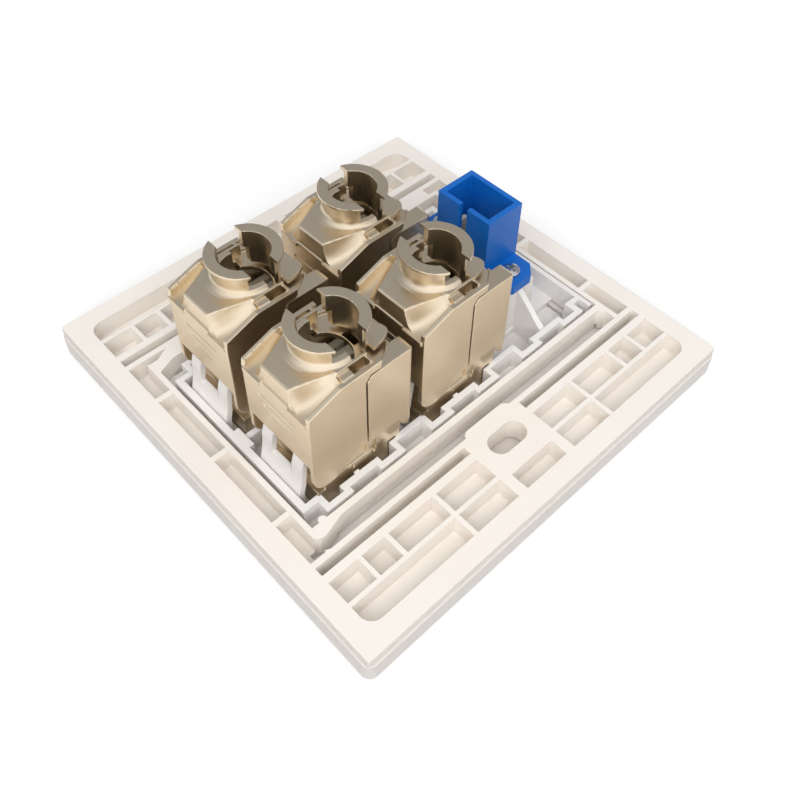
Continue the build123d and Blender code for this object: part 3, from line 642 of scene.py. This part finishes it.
class WALLSOCKET_OT_stage(bpy.types.Operator):
    """Adds the floor, the soft lights, the world and the camera"""
    bl_idname = "wall_socket.stage"
    bl_label = "Stage"

    def execute(self, context):
        look = context.scene.stage_look
        self.floor(look)
        self.world(context.scene, look)
        self.lamp("Key", look.key_power, KEY_SIZE, KEY_PLACE)
        self.lamp("Fill", look.fill_power, FILL_SIZE, FILL_PLACE)
        self.camera(context.scene, look)
        context.scene.view_settings.view_transform = "Standard"
        return {"FINISHED"}

    def floor(self, look):
        """A white floor as the camera sees it, and a darker one for the light it throws back."""
        bpy.ops.object.select_all(action="DESELECT")
        bpy.ops.mesh.primitive_plane_add(size=FLOOR_SIZE, location=(0, 0, -FLOOR_DROP))
        floor = bpy.context.object
        floor.name = "floor"
        made = bpy.data.materials.new("paper_matt_white")
        made.use_nodes = True
        tree = made.node_tree
        tree.nodes.clear()
        rays = add_node(tree, "ShaderNodeLightPath")
        seen = add_node(tree, "ShaderNodeMath", {
            0: rays.outputs["Is Camera Ray"], 1: rays.outputs["Is Glossy Ray"]},
            operation="MAXIMUM")
        seen = add_node(tree, "ShaderNodeMath", {
            0: seen.outputs[0], 1: rays.outputs["Is Transmission Ray"]}, operation="MAXIMUM")
        paper = add_node(tree, "ShaderNodeBsdfDiffuse", {"Color": linear(look.floor_colour)})
        shade = add_node(tree, "ShaderNodeBsdfDiffuse", {"Color": linear(FLOOR_SHADE)})
        place = add_node(tree, "ShaderNodeTexCoord").outputs["Object"]
        far = add_node(tree, "ShaderNodeVectorMath", {0: place}, operation="LENGTH")
        lift = add_node(tree, "ShaderNodeMapRange", {
            "Value": far.outputs["Value"], "From Min": GLOW_FROM, "From Max": GLOW_TO,
            "To Min": GLOW_NEAR, "To Max": GLOW_FAR})
        glow = add_node(tree, "ShaderNodeEmission", {
            "Color": linear(WHITE), "Strength": lift.outputs["Result"]})
        both = add_node(tree, "ShaderNodeAddShader", {0: paper.outputs[0], 1: glow.outputs[0]})
        mix = add_node(tree, "ShaderNodeMixShader", {
            0: seen.outputs[0], 1: shade.outputs[0], 2: both.outputs[0]})
        add_node(tree, "ShaderNodeOutputMaterial", {"Surface": mix.outputs[0]})
        floor.data.materials.append(made)

    def world(self, scene, look):
        """White for the camera, a soft sky for the light, and a room for the gloss to show."""
        world = bpy.data.worlds.new("soft_room")
        world.use_nodes = True
        scene.world = world
        tree = world.node_tree
        tree.nodes.clear()
        way = add_node(tree, "ShaderNodeTexCoord")
        height = add_node(tree, "ShaderNodeSeparateXYZ", {0: way.outputs["Generated"]})
        towards = add_node(tree, "ShaderNodeVectorMath", {
            0: way.outputs["Generated"], 1: Vector(BRIGHT_SIDE).normalized()},
            operation="DOT_PRODUCT")
        ramp = add_node(tree, "ShaderNodeMapRange", {
            "Value": towards.outputs["Value"], "From Min": 0.0, "From Max": BRIGHT_TURN,
            "To Min": ROOM_DIM, "To Max": ROOM_BRIGHT})
        tint = add_node(tree, "ShaderNodeMix", {
            "Factor": ramp.outputs["Result"], "A": linear(ROOM_COOL), "B": linear(ROOM_PALE)},
            data_type="RGBA")
        soft = add_node(tree, "ShaderNodeMapRange", {
            "Value": height.outputs["Z"], "To Min": look.sky_side, "To Max": look.sky_top})
        rays = add_node(tree, "ShaderNodeLightPath")
        sky = add_node(tree, "ShaderNodeBackground", {
            "Color": linear(WHITE), "Strength": soft.outputs["Result"]})
        room = add_node(tree, "ShaderNodeBackground", {
            "Color": tint.outputs[2], "Strength": ramp.outputs["Result"]})
        white = add_node(tree, "ShaderNodeBackground", {"Color": linear(WHITE), "Strength": 1.0})
        mix = add_node(tree, "ShaderNodeMixShader", {
            0: rays.outputs["Is Glossy Ray"], 1: sky.outputs[0], 2: room.outputs[0]})
        mix = add_node(tree, "ShaderNodeMixShader", {
            0: rays.outputs["Is Camera Ray"], 1: mix.outputs[0], 2: white.outputs[0]})
        add_node(tree, "ShaderNodeOutputWorld", {"Surface": mix.outputs[0]})

    def lamp(self, name, power, size, place):
        """A round soft lamp that looks at the plate and leaves no spot in the gloss."""
        data = bpy.data.lights.new(name, "AREA")
        data.energy = power
        data.shape = "DISK"
        data.size = size
        lamp = bpy.data.objects.new(name, data)
        lamp.location = place
        lamp.rotation_mode = "QUATERNION"
        lamp.rotation_quaternion = (-Vector(place)).to_track_quat("-Z", "Y")
        lamp.visible_glossy = False
        bpy.context.collection.objects.link(lamp)

    def camera(self, scene, look):
        """The camera of the photograph, turned round the target and rolled about its own axis."""
        back = Vector((math.sin(look.azimuth) * math.cos(look.elevation),
                       -math.cos(look.azimuth) * math.cos(look.elevation),
                       math.sin(look.elevation)))
        level = Vector((0, 0, 1)).cross(back).normalized()
        upright = back.cross(level)
        turn = Matrix.Rotation(look.roll, 3, back)
        right = turn @ level
        top = turn @ upright
        place = Vector(look.target) + look.distance * back
        data = bpy.data.cameras.new("Camera")
        data.sensor_width = SENSOR
        data.lens = look.lens
        data.shift_y = look.shift
        data.clip_start = 0.01
        data.clip_end = 20
        camera = bpy.data.objects.new("Camera", data)
        camera.matrix_world = Matrix((
            (right.x, top.x, back.x, place.x),
            (right.y, top.y, back.y, place.y),
            (right.z, top.z, back.z, place.z),
            (0, 0, 0, 1)))
        bpy.context.collection.objects.link(camera)
        scene.camera = camera


class WALLSOCKET_PT_sidebar(bpy.types.Panel):
    """Lists the steps that dress the wall socket"""
    bl_label = "Wall socket"
    bl_idname = "WALLSOCKET_PT_sidebar"
    bl_space_type = "VIEW_3D"
    bl_region_type = "UI"
    bl_category = "Wall socket"

    def draw(self, context):
        scene = context.scene
        for look in (scene.plate_look, scene.jack_look, scene.adapter_look, scene.stage_look):
            box = self.layout.box()
            for name in look.__annotations__:
                box.prop(look, name)
        for step in STEPS:
            self.layout.operator(step.bl_idname)


LOOKS = {"plate_look": PlateLook, "jack_look": JackLook, "adapter_look": AdapterLook,
         "stage_look": StageLook}
STEPS = (WALLSOCKET_OT_finishes, WALLSOCKET_OT_plate, WALLSOCKET_OT_jacks,
         WALLSOCKET_OT_adapter, WALLSOCKET_OT_stage)


def register():
    """Registers the looks, the steps and the panel."""
    for look in LOOKS.values():
        bpy.utils.register_class(look)
    for name, look in LOOKS.items():
        setattr(bpy.types.Scene, name, bpy.props.PointerProperty(type=look))
    for step in STEPS:
        bpy.utils.register_class(step)
    bpy.utils.register_class(WALLSOCKET_PT_sidebar)


def unregister():
    """Takes them out again, in the opposite order."""
    bpy.utils.unregister_class(WALLSOCKET_PT_sidebar)
    for step in reversed(STEPS):
        bpy.utils.unregister_class(step)
    for name in LOOKS:
        delattr(bpy.types.Scene, name)
    for look in reversed(list(LOOKS.values())):
        bpy.utils.unregister_class(look)


def main():
    """Dresses the wall socket."""
    register()
    bpy.ops.wall_socket.finishes()
    bpy.ops.wall_socket.plate()
    bpy.ops.wall_socket.jacks()
    bpy.ops.wall_socket.adapter()
    bpy.ops.wall_socket.stage()


if __name__ == "__main__":
    main()
